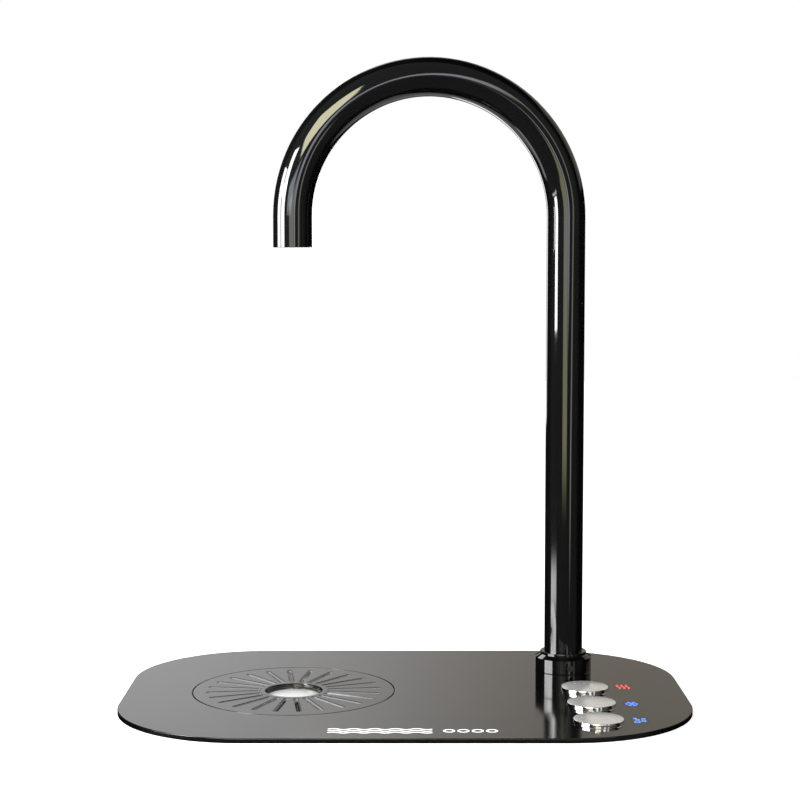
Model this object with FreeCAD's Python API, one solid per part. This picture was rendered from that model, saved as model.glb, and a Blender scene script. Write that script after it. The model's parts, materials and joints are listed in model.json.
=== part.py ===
import FreeCAD, Part
import math
import os

# Worktop water dispenser: an oval deck with a drip tray, a swan-neck spout and three push buttons.
# Millimetres, +Z up. The origin is the centre of the deck outline at worktop level: the deck rim and its
# gasket rest on z = 0, the spout rises above it and the fixings hang through a cut-out below it.
# +X runs from the drip tray to the tap and the buttons, and the user stands on the -Y side.

# Deck
DECK_WIDTH = 360.0
DECK_DEPTH = 238.0
DECK_CORNER = 83.0
DECK_TOP = 3.0
DECK_EDGE = 0.5
DECK_POCKET = 1.0
DECK_RIM = 2.0
GASKET_GAP = 0.3
GASKET_WIDTH = 6.0
CUTOUT_INSET = 9.0

# Worktop clamps
WORKTOP = 30.0
CLAMP_X = 75.0
CLAMP_Y = 97.0
CLAMP_STUD_R = 2.5
CLAMP_STUD_END = -50.0
CLAMP_THICKNESS = 2.0

# Drip tray
TRAY_X = -72.0
TRAY_Y = 0.0
GRILLE_R = 65.1
GRILLE_GAP = 0.5
GRILLE_THICKNESS = 2.0
GRILLE_HOLE_R = 18.2
GRILLE_HOLE_CHAMFER = 0.55
GRILLE_EDGE = 0.4
TRAY_HOLE_EDGE = 0.3
SLOTS = 24
SLOT_TURN = 6.5
SLOT_START = 22.0
SLOT_END = 56.5
SLOT_WIDTH = 2.9
SLOT_CHAMFER = 0.3
BOWL_FLANGE_R = 80.0
BOWL_SHEET = 1.0
BOWL_SEAL = 0.5
BOWL_MOUTH_R = 61.0
BOWL_STUD_PCR = 76.5
BOWL_STUD_R = 2.0
BOWL_STUDS = 6
SUMP_FLOOR = -30.0
SEAL_THICKNESS = 0.8
WASTE_NECK_R = 15.0
WASTE_BORE_R = 12.0
WASTE_TAIL_R = 10.75
WASTE_TAIL_END = -78.0
WASTE_NUT_TOP = -33.0
POST_R = 2.5
POST_TOP = -2.2
CAP_DISC_R = 17.2
CAP_DISC_TOP = 0.6

# Tap
TAP_X = 104.8
TAP_Y = 25.0
OUTLET_X = -71.3
OUTLET_Y = 0.0
TUBE_R = 12.5
TUBE_WALL = 1.2
ARCH_HEIGHT = DECK_TOP + 306.0
OUTLET_HEIGHT = DECK_TOP + 286.2
COLLAR_R = 18.4
COLLAR_SEAM = DECK_TOP + 8.0
SEAM_GAP = 0.25
COLLAR_SHOULDER = DECK_TOP + 17.1
COLLAR_TOP = DECK_TOP + 19.2
LIP_R = 15.1
LIP_TOP = DECK_TOP + 21.0
COLLAR_SEAL_OUTER = 16.6
COLLAR_SEAL_INNER = 14.0
COLLAR_SEAL_DEPTH = 1.6
RUNNING_FIT = 0.08
HEAD_R = 14.92
HEAD_TOP = 17.6
HEAD_CLEARANCE = 0.5
SPIGOT_R = 9.5
SPIGOT_BORE_R = 8.4
SHANK_R = 12.0
SHANK_BORE_R = 10.4
SHANK_END = -45.0
SPIGOT_END = -8.0
SWIVEL_LIMIT = 60.0
STOP_HEIGHT = 15.4
STOP_SCREW_R = 2.0
STOP_TIP_R = 1.25
STOP_DIRECTION = -80.0
LINE_R = 3.0
LINE_BORE_R = 2.2
LINE_PCR = 4.9
TAIL_R = 3.175

# Buttons
BUTTON_X = 116.0
BUTTONS = (("hot", -7.6), ("chilled", -48.6), ("sparkling", -89.6))
BUTTON_R = 15.25
BUTTON_RIM = DECK_TOP + 4.4
BUTTON_RISE = 1.0
BUTTON_SKIRT = 0.5
BUTTON_LOW = DECK_TOP + 2.0
BUTTON_ROOF = DECK_TOP + 3.2
BEZEL_R = 14.5
BEZEL_TOP = DECK_TOP + 1.6
BUSH_R = 8.0
BUSH_END = -9.0
BUSH_NUT_FLATS = 18.0
SPRING_WELL_R = 6.0
SPRING_WELL_FLOOR = -6.0
STEM_R = 3.0
STEM_END = -12.0
CLIP_TOP = BUSH_END - 0.2
CLIP_LOW = CLIP_TOP - 0.8
CLIP_GROOVE_R = STEM_R - 0.7

# Lit windows and electronics
WINDOW_X = 142.5
WINDOWS = (("hot", 8.5), ("chilled", -36.9), ("sparkling", -77.8))
WINDOW_WIDTH = 9.6
WINDOW_DEPTH = 13.0
WINDOW_CORNER = 2.0
WINDOW_GAP = 0.1
BOARD_TOP = -22.0
BOARD_THICKNESS = 1.6
HOUSING_FLOOR = -30.0
HOUSING_WALL = 1.6
HOUSING_TOP = 0.7
HOUSING_X = (99.0, 153.0)
HOUSING_Y = (-102.0, 17.0)
PILLARS = ((106.0, -28.0), (106.0, -69.0), (147.0, -14.5), (147.0, -57.5))
PILLAR_R = 3.0
PILLAR_BORE_R = 1.5
SOCKET_X = (97.0, 109.0)
SOCKET_Y = (-96.0, -82.0)
SOCKET_Z = (BOARD_TOP, BOARD_TOP + 8.0)

OVERSHOOT = 1.0
HAIR = 0.05
ROUND_CORNERS = 1

V = FreeCAD.Vector
UP = V(0, 0, 1)


# ---------------------------------------------------------------- shapes

def cylinder(x, y, low, high, radius):
    return Part.makeCylinder(radius, high - low, V(x, y, low))


def ring(x, y, low, high, outer, inner):
    hole = cylinder(x, y, low - OVERSHOOT, high + OVERSHOOT, inner)
    return cylinder(x, y, low, high, outer).cut(hole)


def block(x_range, y_range, z_range):
    spans = [high - low for low, high in (x_range, y_range, z_range)]
    return Part.makeBox(*spans, V(x_range[0], y_range[0], z_range[0]))


def lathe(x, y, points):
    """Solid of revolution about the vertical line through (x, y), from a closed (radius, z) outline."""
    corners = [V(x + radius, y, z) for radius, z in points]
    outline = Part.makePolygon(corners + corners[:1])
    return Part.Face(outline).revolve(V(x, y, 0), UP, 360)


def hexagon(x, y, low, high, across_flats):
    corner_r = across_flats / math.sqrt(3)
    corners = [polar(x, y, corner_r, 60 * i, low) for i in range(7)]
    return Part.Face(Part.makePolygon(corners)).extrude(UP * (high - low))


def nut(x, y, low, high, across_flats, bore):
    """Hexagon nut with its corners turned off on both faces."""
    corner_r = across_flats / math.sqrt(3)
    flat_r = across_flats / 2
    bevel = (corner_r - flat_r) * 0.6
    rounder = lathe(x, y, [(0, low), (flat_r, low), (corner_r, low + bevel),
                           (corner_r, high - bevel), (flat_r, high), (0, high)])
    body = hexagon(x, y, low, high, across_flats).common(rounder)
    return body.cut(cylinder(x, y, low - OVERSHOOT, high + OVERSHOOT, bore))


def polar(x, y, radius, degrees, z=0.0):
    turn = math.radians(degrees)
    return V(x + radius * math.cos(turn), y + radius * math.sin(turn), z)


def oval_plate(inset, low, high):
    """Slab with the deck's outline drawn in by inset: straight sides joined by large round corners."""
    return rounded_slab(0, 0, DECK_WIDTH - 2 * inset, DECK_DEPTH - 2 * inset, DECK_CORNER - inset, low, high)


def rounded_slab(x, y, width, depth, corner, low, high):
    half_x = width / 2
    half_y = depth / 2
    slab = block((x - half_x, x + half_x), (y - half_y, y + half_y), (low, high))
    upright = [e for e in slab.Edges if e.BoundBox.ZLength > (high - low) / 2]
    return slab.makeFillet(corner, upright)


def edges_at(shape, z, radius=None):
    """Edges that lie flat at height z, and have the given radius when one is asked for."""
    level = [e for e in shape.Edges if abs(e.BoundBox.ZMin - z) < 1e-6 and abs(e.BoundBox.ZMax - z) < 1e-6]
    if radius is None:
        return level
    return [e for e in level if hasattr(e.Curve, "Radius") and abs(e.Curve.Radius - radius) < 1e-6]


def domed_disc(x, y, low, rim, rise, radius):
    """Disc with a spherical top that rises by rise from its rim to its centre."""
    sphere_r = (radius ** 2 + rise ** 2) / (2 * rise)
    sphere = Part.makeSphere(sphere_r, V(x, y, rim + rise - sphere_r))
    return cylinder(x, y, low, rim + 2 * rise, radius).common(sphere)


def swept(edges, radius):
    """Round bar along a chain of tangent lines and arcs."""
    path = Part.Wire(edges)
    first = path.OrderedEdges[0]
    start = first.valueAt(first.FirstParameter)
    heading = first.tangentAt(first.FirstParameter)
    section = Part.Wire(Part.makeCircle(radius, start, heading))
    return path.makePipeShell([section], True, False)


def hose(edges, outer, inner):
    return swept(edges, outer).cut(swept(edges, inner))


def line(a, b):
    return Part.LineSegment(a, b).toShape()


def arc(a, middle, b):
    return Part.Arc(a, middle, b).toShape()


def save(node, *solids):
    shape = solids[0] if len(solids) == 1 else Part.makeCompound(list(solids))
    if not shape.isValid():
        raise ValueError(node + " isn't a valid shape")
    shape.exportStep("parts/" + node + ".step")


# ---------------------------------------------------------------- deck

def window_slab(y, gap, low, high):
    width = WINDOW_WIDTH + 2 * gap
    depth = WINDOW_DEPTH + 2 * gap
    return rounded_slab(WINDOW_X, y, width, depth, WINDOW_CORNER + gap, low, high)


def deck_plate():
    plate = oval_plate(0, 0, DECK_TOP)
    plate = plate.makeFillet(DECK_EDGE, edges_at(plate, DECK_TOP))
    low = -OVERSHOOT
    high = DECK_TOP + OVERSHOOT
    shank_hole_r = SHANK_R + 0.5
    bush_hole_r = BUSH_R + 0.3
    cuts = [oval_plate(DECK_RIM, low, DECK_POCKET)]
    cuts.append(cylinder(TRAY_X, TRAY_Y, low, high, GRILLE_R + GRILLE_GAP))
    cuts.append(cylinder(TAP_X, TAP_Y, low, high, shank_hole_r))
    cuts += [cylinder(BUTTON_X, y, low, high, bush_hole_r) for _, y in BUTTONS]
    cuts += [window_slab(y, WINDOW_GAP, low, high) for _, y in WINDOWS]
    for cut in cuts:
        plate = plate.cut(cut)
    return plate.makeFillet(TRAY_HOLE_EDGE, edges_at(plate, DECK_TOP, GRILLE_R + GRILLE_GAP))


def deck_gasket():
    outer = DECK_RIM + GASKET_GAP
    inner = outer + GASKET_WIDTH
    return oval_plate(outer, 0, DECK_POCKET).cut(oval_plate(inner, -OVERSHOOT, DECK_POCKET + OVERSHOOT))


def clamp_places():
    return [(side * CLAMP_X, end * CLAMP_Y) for side in (-1, 1) for end in (-1, 1)]


def deck_stud(x, y):
    """Welded stud with a flat weld foot and a bevelled tip."""
    foot_r = CLAMP_STUD_R + 1.5
    foot = 0.8
    tip = 1.0
    return lathe(x, y, [(0, DECK_POCKET), (foot_r, DECK_POCKET), (foot_r, DECK_POCKET - foot),
                        (CLAMP_STUD_R, DECK_POCKET - foot), (CLAMP_STUD_R, CLAMP_STUD_END + tip),
                        (CLAMP_STUD_R - tip, CLAMP_STUD_END), (0, CLAMP_STUD_END)])


def clamp_bracket(x, y):
    """Folded strip that bridges from the stud to the underside of the worktop, with a turned-down tail."""
    outward = math.copysign(1, y)
    half_width = 7.0
    inner_end = y - outward * 10.0
    outer_end = outward * (DECK_DEPTH / 2 - 3.0)
    tail_drop = 9.0
    corner = 3.0
    span = tuple(sorted((inner_end, outer_end)))
    tail = tuple(sorted((inner_end, inner_end + outward * CLAMP_THICKNESS)))
    across = (x - half_width, x + half_width)
    strip = block(across, span, (-WORKTOP - CLAMP_THICKNESS, -WORKTOP))
    tip = [e for e in strip.Edges
           if e.BoundBox.ZLength > CLAMP_THICKNESS / 2 and abs(e.BoundBox.YMin - outer_end) < 1e-6]
    strip = strip.makeFillet(corner, tip)
    folded = strip.fuse(block(across, tail, (-WORKTOP - tail_drop, -WORKTOP))).removeSplitter()
    return folded.cut(cylinder(x, y, -WORKTOP - tail_drop, 0, CLAMP_STUD_R + 0.4))


def clamp_nut(x, y):
    """Wing nut: a round hub with two upright wings."""
    top = -WORKTOP - CLAMP_THICKNESS
    hub_height = 5.0
    hub_r = 5.0
    wing_reach = 12.0
    wing_drop = 10.0
    wing_half = 1.1
    hub = cylinder(x, y, top - hub_height, top, hub_r)
    outline = [(-wing_reach, -wing_drop), (-hub_r, -hub_height), (hub_r, -hub_height), (wing_reach, -wing_drop),
               (wing_reach - 1.0, -3.5), (hub_r - 1.0, -1.5), (1.0 - hub_r, -1.5), (1.0 - wing_reach, -3.5)]
    corners = [V(x + across, y - wing_half, top + height) for across, height in outline]
    wings = Part.Face(Part.makePolygon(corners + corners[:1])).extrude(V(0, 2 * wing_half, 0))
    return hub.fuse(wings).cut(cylinder(x, y, top - wing_drop, top + OVERSHOOT, CLAMP_STUD_R + HAIR))


# ---------------------------------------------------------------- drip tray

def grille_slot(index):
    """Radial slot with round ends."""
    low = -OVERSHOOT
    high = DECK_TOP + OVERSHOOT
    half = SLOT_WIDTH / 2
    slot = block((SLOT_START + half, SLOT_END - half), (-half, half), (low, high))
    for reach in (SLOT_START + half, SLOT_END - half):
        slot = slot.fuse(cylinder(reach, 0, low, high, half))
    slot = slot.removeSplitter()
    slot.rotate(V(), UP, SLOT_TURN + index * 360 / SLOTS)
    slot.translate(V(TRAY_X, TRAY_Y, 0))
    return slot


def drip_grille():
    low = DECK_TOP - GRILLE_THICKNESS
    grille = cylinder(TRAY_X, TRAY_Y, low, DECK_TOP, GRILLE_R)
    grille = grille.makeFillet(GRILLE_EDGE, edges_at(grille, DECK_TOP))
    grille = grille.cut(Part.makeCompound([grille_slot(i) for i in range(SLOTS)]))
    slot_edges = [e for e in edges_at(grille, DECK_TOP) if e.Length < SLOT_END - SLOT_START]
    grille = grille.makeChamfer(SLOT_CHAMFER, slot_edges)
    hole_top = GRILLE_HOLE_R + GRILLE_HOLE_CHAMFER
    return grille.cut(lathe(TRAY_X, TRAY_Y, [
        (0, -OVERSHOOT), (GRILLE_HOLE_R, -OVERSHOOT), (GRILLE_HOLE_R, DECK_TOP - GRILLE_HOLE_CHAMFER),
        (hole_top, DECK_TOP), (hole_top, DECK_TOP + OVERSHOOT), (0, DECK_TOP + OVERSHOOT)]))


def grille_pads():
    """Silicone dots under the grille's edge, which rest on the bowl's ledge."""
    pad_pcr = 63.2
    pad_r = 1.6
    spots = [polar(TRAY_X, TRAY_Y, pad_pcr, 45 + 90 * i) for i in range(4)]
    return [cylinder(p.x, p.y, BOWL_SEAL, DECK_TOP - GRILLE_THICKNESS, pad_r) for p in spots]


def bowl_stud_places():
    return [polar(TRAY_X, TRAY_Y, BOWL_STUD_PCR, 30 + i * 360 / BOWL_STUDS) for i in range(BOWL_STUDS)]


def drip_bowl():
    """Pressed tray: flat flange, leaning wall, floor that falls to a sump with the waste hole in it."""
    top = BOWL_SEAL
    under = BOWL_SEAL - BOWL_SHEET
    wall_foot_r = 58.5
    floor_r = 55.5
    sump_r = 24.0
    hole_r = WASTE_NECK_R + 0.2
    bowl = lathe(TRAY_X, TRAY_Y, [
        (BOWL_FLANGE_R, top), (BOWL_MOUTH_R, top), (wall_foot_r, -21.0), (floor_r, -24.0),
        (sump_r, -27.0), (sump_r, SUMP_FLOOR), (hole_r, SUMP_FLOOR), (hole_r, SUMP_FLOOR - BOWL_SHEET),
        (sump_r + BOWL_SHEET, SUMP_FLOOR - BOWL_SHEET), (sump_r + BOWL_SHEET, -28.0),
        (floor_r + 0.4, -25.05), (wall_foot_r + BOWL_SHEET, -21.4), (BOWL_MOUTH_R + BOWL_SHEET, under),
        (BOWL_FLANGE_R, under)])
    for spot in bowl_stud_places():
        bowl = bowl.cut(cylinder(spot.x, spot.y, under - OVERSHOOT, top + OVERSHOOT, BOWL_STUD_R + 0.3))
    return bowl


def bowl_gasket():
    outer = BOWL_STUD_PCR - 3.5
    inner = GRILLE_R + 1.5
    return ring(TRAY_X, TRAY_Y, BOWL_SEAL, DECK_POCKET, outer, inner)


def bowl_stud(spot):
    length = 9.0
    foot_r = BOWL_STUD_R + 1.0
    foot = 0.4
    tip = 0.6
    end = DECK_POCKET - length
    return lathe(spot.x, spot.y, [
        (0, DECK_POCKET), (foot_r, DECK_POCKET), (foot_r, DECK_POCKET - foot),
        (BOWL_STUD_R, DECK_POCKET - foot), (BOWL_STUD_R, end + tip), (BOWL_STUD_R - tip, end), (0, end)])


def bowl_nut(spot):
    height = 3.2
    across_flats = 7.0
    high = BOWL_SEAL - BOWL_SHEET
    return nut(spot.x, spot.y, high - height, high, across_flats, BOWL_STUD_R + HAIR)


def waste_body():
    """Waste outlet: flange in the sump, threaded neck, and a plain spigot tail for a 21.5 mm waste pipe."""
    flange_r = 22.5
    flange_low = SUMP_FLOOR + SEAL_THICKNESS
    flange_top = flange_low + 1.7
    neck_end = -52.0
    tail_bore_r = 9.0
    rim = 1.0
    return lathe(TRAY_X, TRAY_Y, [
        (WASTE_BORE_R, flange_top - rim), (WASTE_BORE_R + rim, flange_top), (flange_r - rim, flange_top),
        (flange_r, flange_top - rim), (flange_r, flange_low), (WASTE_NECK_R, flange_low),
        (WASTE_NECK_R, neck_end), (WASTE_TAIL_R, neck_end), (WASTE_TAIL_R, WASTE_TAIL_END),
        (tail_bore_r, WASTE_TAIL_END), (tail_bore_r, neck_end + 3.0), (WASTE_BORE_R, neck_end + 6.0)])


def waste_seal():
    return ring(TRAY_X, TRAY_Y, SUMP_FLOOR, SUMP_FLOOR + SEAL_THICKNESS, 21.5, WASTE_NECK_R + 0.3)


def waste_washer():
    return ring(TRAY_X, TRAY_Y, WASTE_NUT_TOP, SUMP_FLOOR - BOWL_SHEET, 23.0, WASTE_NECK_R + 0.3)


def waste_nut():
    height = 8.0
    across_flats = 40.0
    return nut(TRAY_X, TRAY_Y, WASTE_NUT_TOP - height, WASTE_NUT_TOP, across_flats, WASTE_NECK_R + HAIR)


def strainer_basket():
    """Lift-out strainer: perforated cup that hangs in the waste neck, with a post for the polished cap."""
    rim_r = 14.0
    rim_low = SUMP_FLOOR + 2.5
    rim_top = rim_low + 1.0
    cup_r = WASTE_BORE_R - 0.4
    cup_floor = -38.0
    sheet = 0.8
    cup = lathe(TRAY_X, TRAY_Y, [
        (0, cup_floor), (cup_r, cup_floor), (cup_r, rim_low), (rim_r, rim_low), (rim_r, rim_top),
        (cup_r - sheet, rim_top), (cup_r - sheet, cup_floor + sheet), (POST_R, cup_floor + sheet),
        (POST_R, POST_TOP), (0, POST_TOP)])
    hole_r = 1.1
    hole_height = cup_floor + 5.0
    drain_pcr = 6.8
    drains = 8
    for i in range(drains):
        spot = polar(TRAY_X, TRAY_Y, drain_pcr, i * 360 / drains)
        cup = cup.cut(cylinder(spot.x, spot.y, cup_floor - OVERSHOOT, cup_floor + 2 * sheet, hole_r))
    for i in range(drains):
        inside = polar(TRAY_X, TRAY_Y, drain_pcr, i * 360 / drains, hole_height)
        outward = polar(0, 0, 1, i * 360 / drains)
        cup = cup.cut(Part.makeCylinder(hole_r, cup_r, inside, outward))
    return cup


def splash_cap():
    """Polished disc over the strainer, with a socket that grips the post."""
    rise = 1.0
    rim = CAP_DISC_TOP - rise
    low = rim - 1.0
    socket_r = 4.0
    socket_depth = 4.0
    edge = 0.35
    disc = domed_disc(TRAY_X, TRAY_Y, low, rim, rise, CAP_DISC_R)
    disc = disc.makeFillet(edge, edges_at(disc, rim))
    disc = disc.fuse(cylinder(TRAY_X, TRAY_Y, POST_TOP - socket_depth, low + HAIR, socket_r))
    bore = cylinder(TRAY_X, TRAY_Y, POST_TOP - socket_depth - OVERSHOOT, POST_TOP, POST_R)
    return disc.cut(bore).removeSplitter()


# ---------------------------------------------------------------- tap

def reach():
    return math.hypot(OUTLET_X - TAP_X, OUTLET_Y - TAP_Y)


def spout_direction():
    return math.degrees(math.atan2(OUTLET_Y - TAP_Y, OUTLET_X - TAP_X))


def swan_neck(foot, outlet, inward=0.0, sideways=0.0):
    """Edges up the column, over the half-circle and down to the outlet, offset from the tube's centre."""
    heading = spout_direction()
    ahead = polar(0, 0, 1, heading)
    aside = polar(0, 0, 1, heading + 90)
    arch_r = reach() / 2
    axis = V(TAP_X, TAP_Y, 0) + aside * sideways
    column = axis + ahead * inward
    crown = axis + ahead * arch_r
    drop = axis + ahead * (2 * arch_r - inward)
    top = V(0, 0, ARCH_HEIGHT)
    return [line(column + V(0, 0, foot), column + top),
            arc(column + top, crown + top + V(0, 0, arch_r - inward), drop + top),
            line(drop + top, drop + V(0, 0, outlet))]


def spout_tube():
    foot = HEAD_TOP + HEAD_CLEARANCE
    return hose(swan_neck(foot, OUTLET_HEIGHT), TUBE_R, TUBE_R - TUBE_WALL)


def line_places():
    return [(LINE_PCR * math.cos(math.radians(a)), LINE_PCR * math.sin(math.radians(a))) for a in (0, 120, 240)]


def water_line(inward, sideways):
    foot = -58.0
    end = OUTLET_HEIGHT + 1.0
    return hose(swan_neck(foot, end, inward, sideways), LINE_R, LINE_BORE_R)


def inlet_tail(inward, sideways):
    """Rigid stem that sleeves over the foot of a water line, then steps outward to leave room for a fitting."""
    sleeve_top = -48.0
    sleeve_low = -60.0
    sleeve_r = 4.0
    shoulder_top = -58.0
    shoulder_low = -60.5
    bend_r = 25.0
    lean = math.radians(30)
    slope = 20.0
    stem = 30.0
    heading = spout_direction()
    out = polar(0, 0, 1, heading) * inward + polar(0, 0, 1, heading + 90) * sideways
    start = V(TAP_X, TAP_Y, sleeve_low) + out
    out.normalize()

    def along(sideways_run, drop):
        return start + out * sideways_run - UP * drop

    side = bend_r * (1 - math.cos(lean))
    fall = bend_r * math.sin(lean)
    half_side = bend_r * (1 - math.cos(lean / 2))
    half_fall = bend_r * math.sin(lean / 2)
    slope_side = side + slope * math.sin(lean)
    slope_fall = fall + slope * math.cos(lean)
    end_side = slope_side + side
    end_fall = slope_fall + fall
    edges = [arc(start, along(half_side, half_fall), along(side, fall)),
             line(along(side, fall), along(slope_side, slope_fall)),
             arc(along(slope_side, slope_fall), along(end_side - half_side, end_fall - half_fall),
                 along(end_side, end_fall)),
             line(along(end_side, end_fall), along(end_side, end_fall + stem))]
    sleeve = ring(start.x, start.y, sleeve_low, sleeve_top, sleeve_r, LINE_R + HAIR)
    shoulder = ring(start.x, start.y, shoulder_low, shoulder_top, sleeve_r, LINE_BORE_R)
    bent = swept(edges, TAIL_R).fuse([sleeve, shoulder])
    bore = swept(edges, LINE_BORE_R)
    return bent.cut(bore).removeSplitter()


def outlet_nozzle():
    """Insert that closes the tube's end and holds the three water lines."""
    recess = 0.8
    length = 10.0
    edge = 0.6
    low = OUTLET_HEIGHT + recess
    plug = cylinder(OUTLET_X, OUTLET_Y, low, low + length, TUBE_R - TUBE_WALL - HAIR)
    plug = plug.makeFillet(edge, edges_at(plug, low))
    for inward, sideways in line_places():
        plug = plug.cut(swept(swan_neck(0, low - OVERSHOOT, inward, sideways)[2:], LINE_R + HAIR))
    return plug


def base_collar():
    """Lower ring, trapped between the deck and the head of the shank, with a groove for its seal."""
    edge = 0.3
    body = ring(TAP_X, TAP_Y, DECK_TOP, COLLAR_SEAM, COLLAR_R, SHANK_R + 0.1)
    body = body.makeChamfer(edge, edges_at(body, COLLAR_SEAM, COLLAR_R))
    groove_top = DECK_TOP + COLLAR_SEAL_DEPTH
    return body.cut(ring(TAP_X, TAP_Y, DECK_TOP - OVERSHOOT, groove_top, COLLAR_SEAL_OUTER, COLLAR_SEAL_INNER))


def collar_seal():
    """Seal ring squeezed flat in the groove under the lower collar."""
    round_edge = 0.5
    slack = 0.1
    low = DECK_TOP
    high = DECK_TOP + COLLAR_SEAL_DEPTH
    seal = ring(TAP_X, TAP_Y, low, high, COLLAR_SEAL_OUTER - slack, COLLAR_SEAL_INNER + slack)
    return seal.makeFillet(round_edge, edges_at(seal, low) + edges_at(seal, high))


def tap_shank():
    """Hollow bolt through the deck: its head carries the swivel and has the arc groove for the stop screw."""
    groove_floor_r = 13.7
    groove_half = STOP_TIP_R + 0.25
    bevel = 0.8
    spare_turn = 0.5
    body = lathe(TAP_X, TAP_Y, [
        (SHANK_BORE_R, SHANK_END), (SHANK_R - bevel, SHANK_END), (SHANK_R, SHANK_END + bevel),
        (SHANK_R, COLLAR_SEAM), (HEAD_R, COLLAR_SEAM), (HEAD_R, HEAD_TOP), (SHANK_BORE_R, HEAD_TOP)])
    tip_turn = math.degrees(math.asin(STOP_TIP_R / groove_floor_r)) + spare_turn
    half_turn = SWIVEL_LIMIT + tip_turn
    low = STOP_HEIGHT - groove_half
    tall = 2 * groove_half
    start = polar(0, 0, 1, STOP_DIRECTION - half_turn)
    wedge = Part.makeCylinder(COLLAR_R, tall, V(TAP_X, TAP_Y, low), UP, 2 * half_turn)
    wedge.rotate(V(TAP_X, TAP_Y, low), UP, math.degrees(math.atan2(start.y, start.x)))
    return body.cut(wedge.cut(cylinder(TAP_X, TAP_Y, low - OVERSHOOT, low + 2 * tall, groove_floor_r)))


def swivel_bush():
    """Plain bearing pressed into the shank."""
    top = COLLAR_SEAM - 1.0
    return ring(TAP_X, TAP_Y, SPIGOT_END, top, SHANK_BORE_R - HAIR, SPIGOT_R + RUNNING_FIT)


def shank_seal_washer():
    return ring(TAP_X, TAP_Y, -1.0, DECK_POCKET, 19.0, SHANK_R + 0.2)


def shank_steel_washer():
    return ring(TAP_X, TAP_Y, -2.5, -1.0, 20.0, SHANK_R + 0.2)


def shank_nut():
    across_flats = 32.0
    return nut(TAP_X, TAP_Y, -10.5, -2.5, across_flats, SHANK_R + HAIR)


def swivel_spigot():
    """Hollow pivot fixed in the foot of the spout tube, which turns in the bush."""
    grip_r = TUBE_R - TUBE_WALL - HAIR
    step = HEAD_TOP + HEAD_CLEARANCE
    top = step + 12.0
    return lathe(TAP_X, TAP_Y, [(SPIGOT_BORE_R, SPIGOT_END), (SPIGOT_R, SPIGOT_END), (SPIGOT_R, step),
                                (grip_r, step), (grip_r, top), (SPIGOT_BORE_R, top)])


def thrust_washer():
    low = HEAD_TOP + 0.1
    thickness = 0.35
    return ring(TAP_X, TAP_Y, low, low + thickness, HEAD_R - 0.3, SPIGOT_R + HAIR)


def along_stop(radius, start, end):
    """Cylinder on the stop screw's axis, from start to end measured out from the tap's axis."""
    outward = polar(0, 0, 1, STOP_DIRECTION)
    return Part.makeCylinder(radius, end - start, V(TAP_X, TAP_Y, STOP_HEIGHT) + outward * start, outward)


def swivel_collar():
    """Upper ring, fixed on the tube: turns on the head of the shank and carries the stop screw."""
    low = COLLAR_SEAM + SEAM_GAP
    step = HEAD_TOP + HEAD_CLEARANCE
    edge = 0.3
    body = lathe(TAP_X, TAP_Y, [
        (HEAD_R + RUNNING_FIT, low), (COLLAR_R - edge, low), (COLLAR_R, low + edge),
        (COLLAR_R, COLLAR_SHOULDER), (LIP_R, COLLAR_TOP), (TUBE_R + HAIR, COLLAR_TOP),
        (TUBE_R + HAIR, step), (HEAD_R + RUNNING_FIT, step)])
    return body.cut(along_stop(STOP_SCREW_R + HAIR, HEAD_R - OVERSHOOT, COLLAR_R + OVERSHOOT))


def trim_ring():
    """Thin lip between the collar's cone and the tube."""
    edge = 0.5
    body = ring(TAP_X, TAP_Y, COLLAR_TOP, LIP_TOP, LIP_R, TUBE_R + HAIR)
    return body.makeFillet(edge, edges_at(body, LIP_TOP, LIP_R))


def stop_screw():
    """Socket set screw with a plain dog point in the shank's groove."""
    point_start = 14.0
    thread_start = HEAD_R + RUNNING_FIT + 0.2
    outer = COLLAR_R - 0.4
    socket_start = COLLAR_R - 2.0
    socket_flats = 2.0
    thread = along_stop(STOP_SCREW_R, thread_start, outer)
    screw = thread.fuse(along_stop(STOP_TIP_R, point_start, thread_start + HAIR))
    socket = hexagon(0, 0, 0, OVERSHOOT + 2.0, socket_flats)
    outward = polar(0, 0, 1, STOP_DIRECTION)
    socket.Placement = FreeCAD.Placement(V(TAP_X, TAP_Y, STOP_HEIGHT) + outward * socket_start,
                                         FreeCAD.Rotation(UP, outward))
    return screw.cut(socket).removeSplitter()


# ---------------------------------------------------------------- buttons

def button_cap(y):
    """Domed metal cap: a short skirt slides down outside the bezel, and a boss takes the stem."""
    edge = 0.45
    cap = domed_disc(BUTTON_X, y, BUTTON_LOW, BUTTON_RIM, BUTTON_RISE, BUTTON_R)
    cap = cap.makeFillet(edge, edges_at(cap, BUTTON_RIM))
    cap = cap.cut(cylinder(BUTTON_X, y, BUTTON_LOW - OVERSHOOT, BUTTON_ROOF, BUTTON_R - BUTTON_SKIRT))
    return cap.cut(cylinder(BUTTON_X, y, 0, BUTTON_ROOF + 0.8, STEM_R + HAIR))


def button_stem(y):
    """Pin from the cap through the bush, with a clip groove and a thin tip that works the switch."""
    top = BUTTON_ROOF + 0.8 - HAIR
    tip_r = 1.6
    tip_end = -17.0
    return lathe(BUTTON_X, y, [
        (0, top), (STEM_R, top), (STEM_R, CLIP_TOP), (CLIP_GROOVE_R, CLIP_TOP), (CLIP_GROOVE_R, CLIP_LOW),
        (STEM_R, CLIP_LOW), (STEM_R, STEM_END), (tip_r, STEM_END), (tip_r, tip_end), (0, tip_end)])


def button_clip(y):
    """Spring clip in the stem's groove, open on one side, which stops the cap at the top of its travel."""
    outer = 5.0
    mouth = 1.7
    body = ring(BUTTON_X, y, CLIP_LOW + HAIR, CLIP_TOP - HAIR, outer, CLIP_GROOVE_R + HAIR)
    heights = (CLIP_LOW - OVERSHOOT, CLIP_TOP + OVERSHOOT)
    return body.cut(block((BUTTON_X, BUTTON_X + 2 * outer), (y - mouth, y + mouth), heights))


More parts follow.
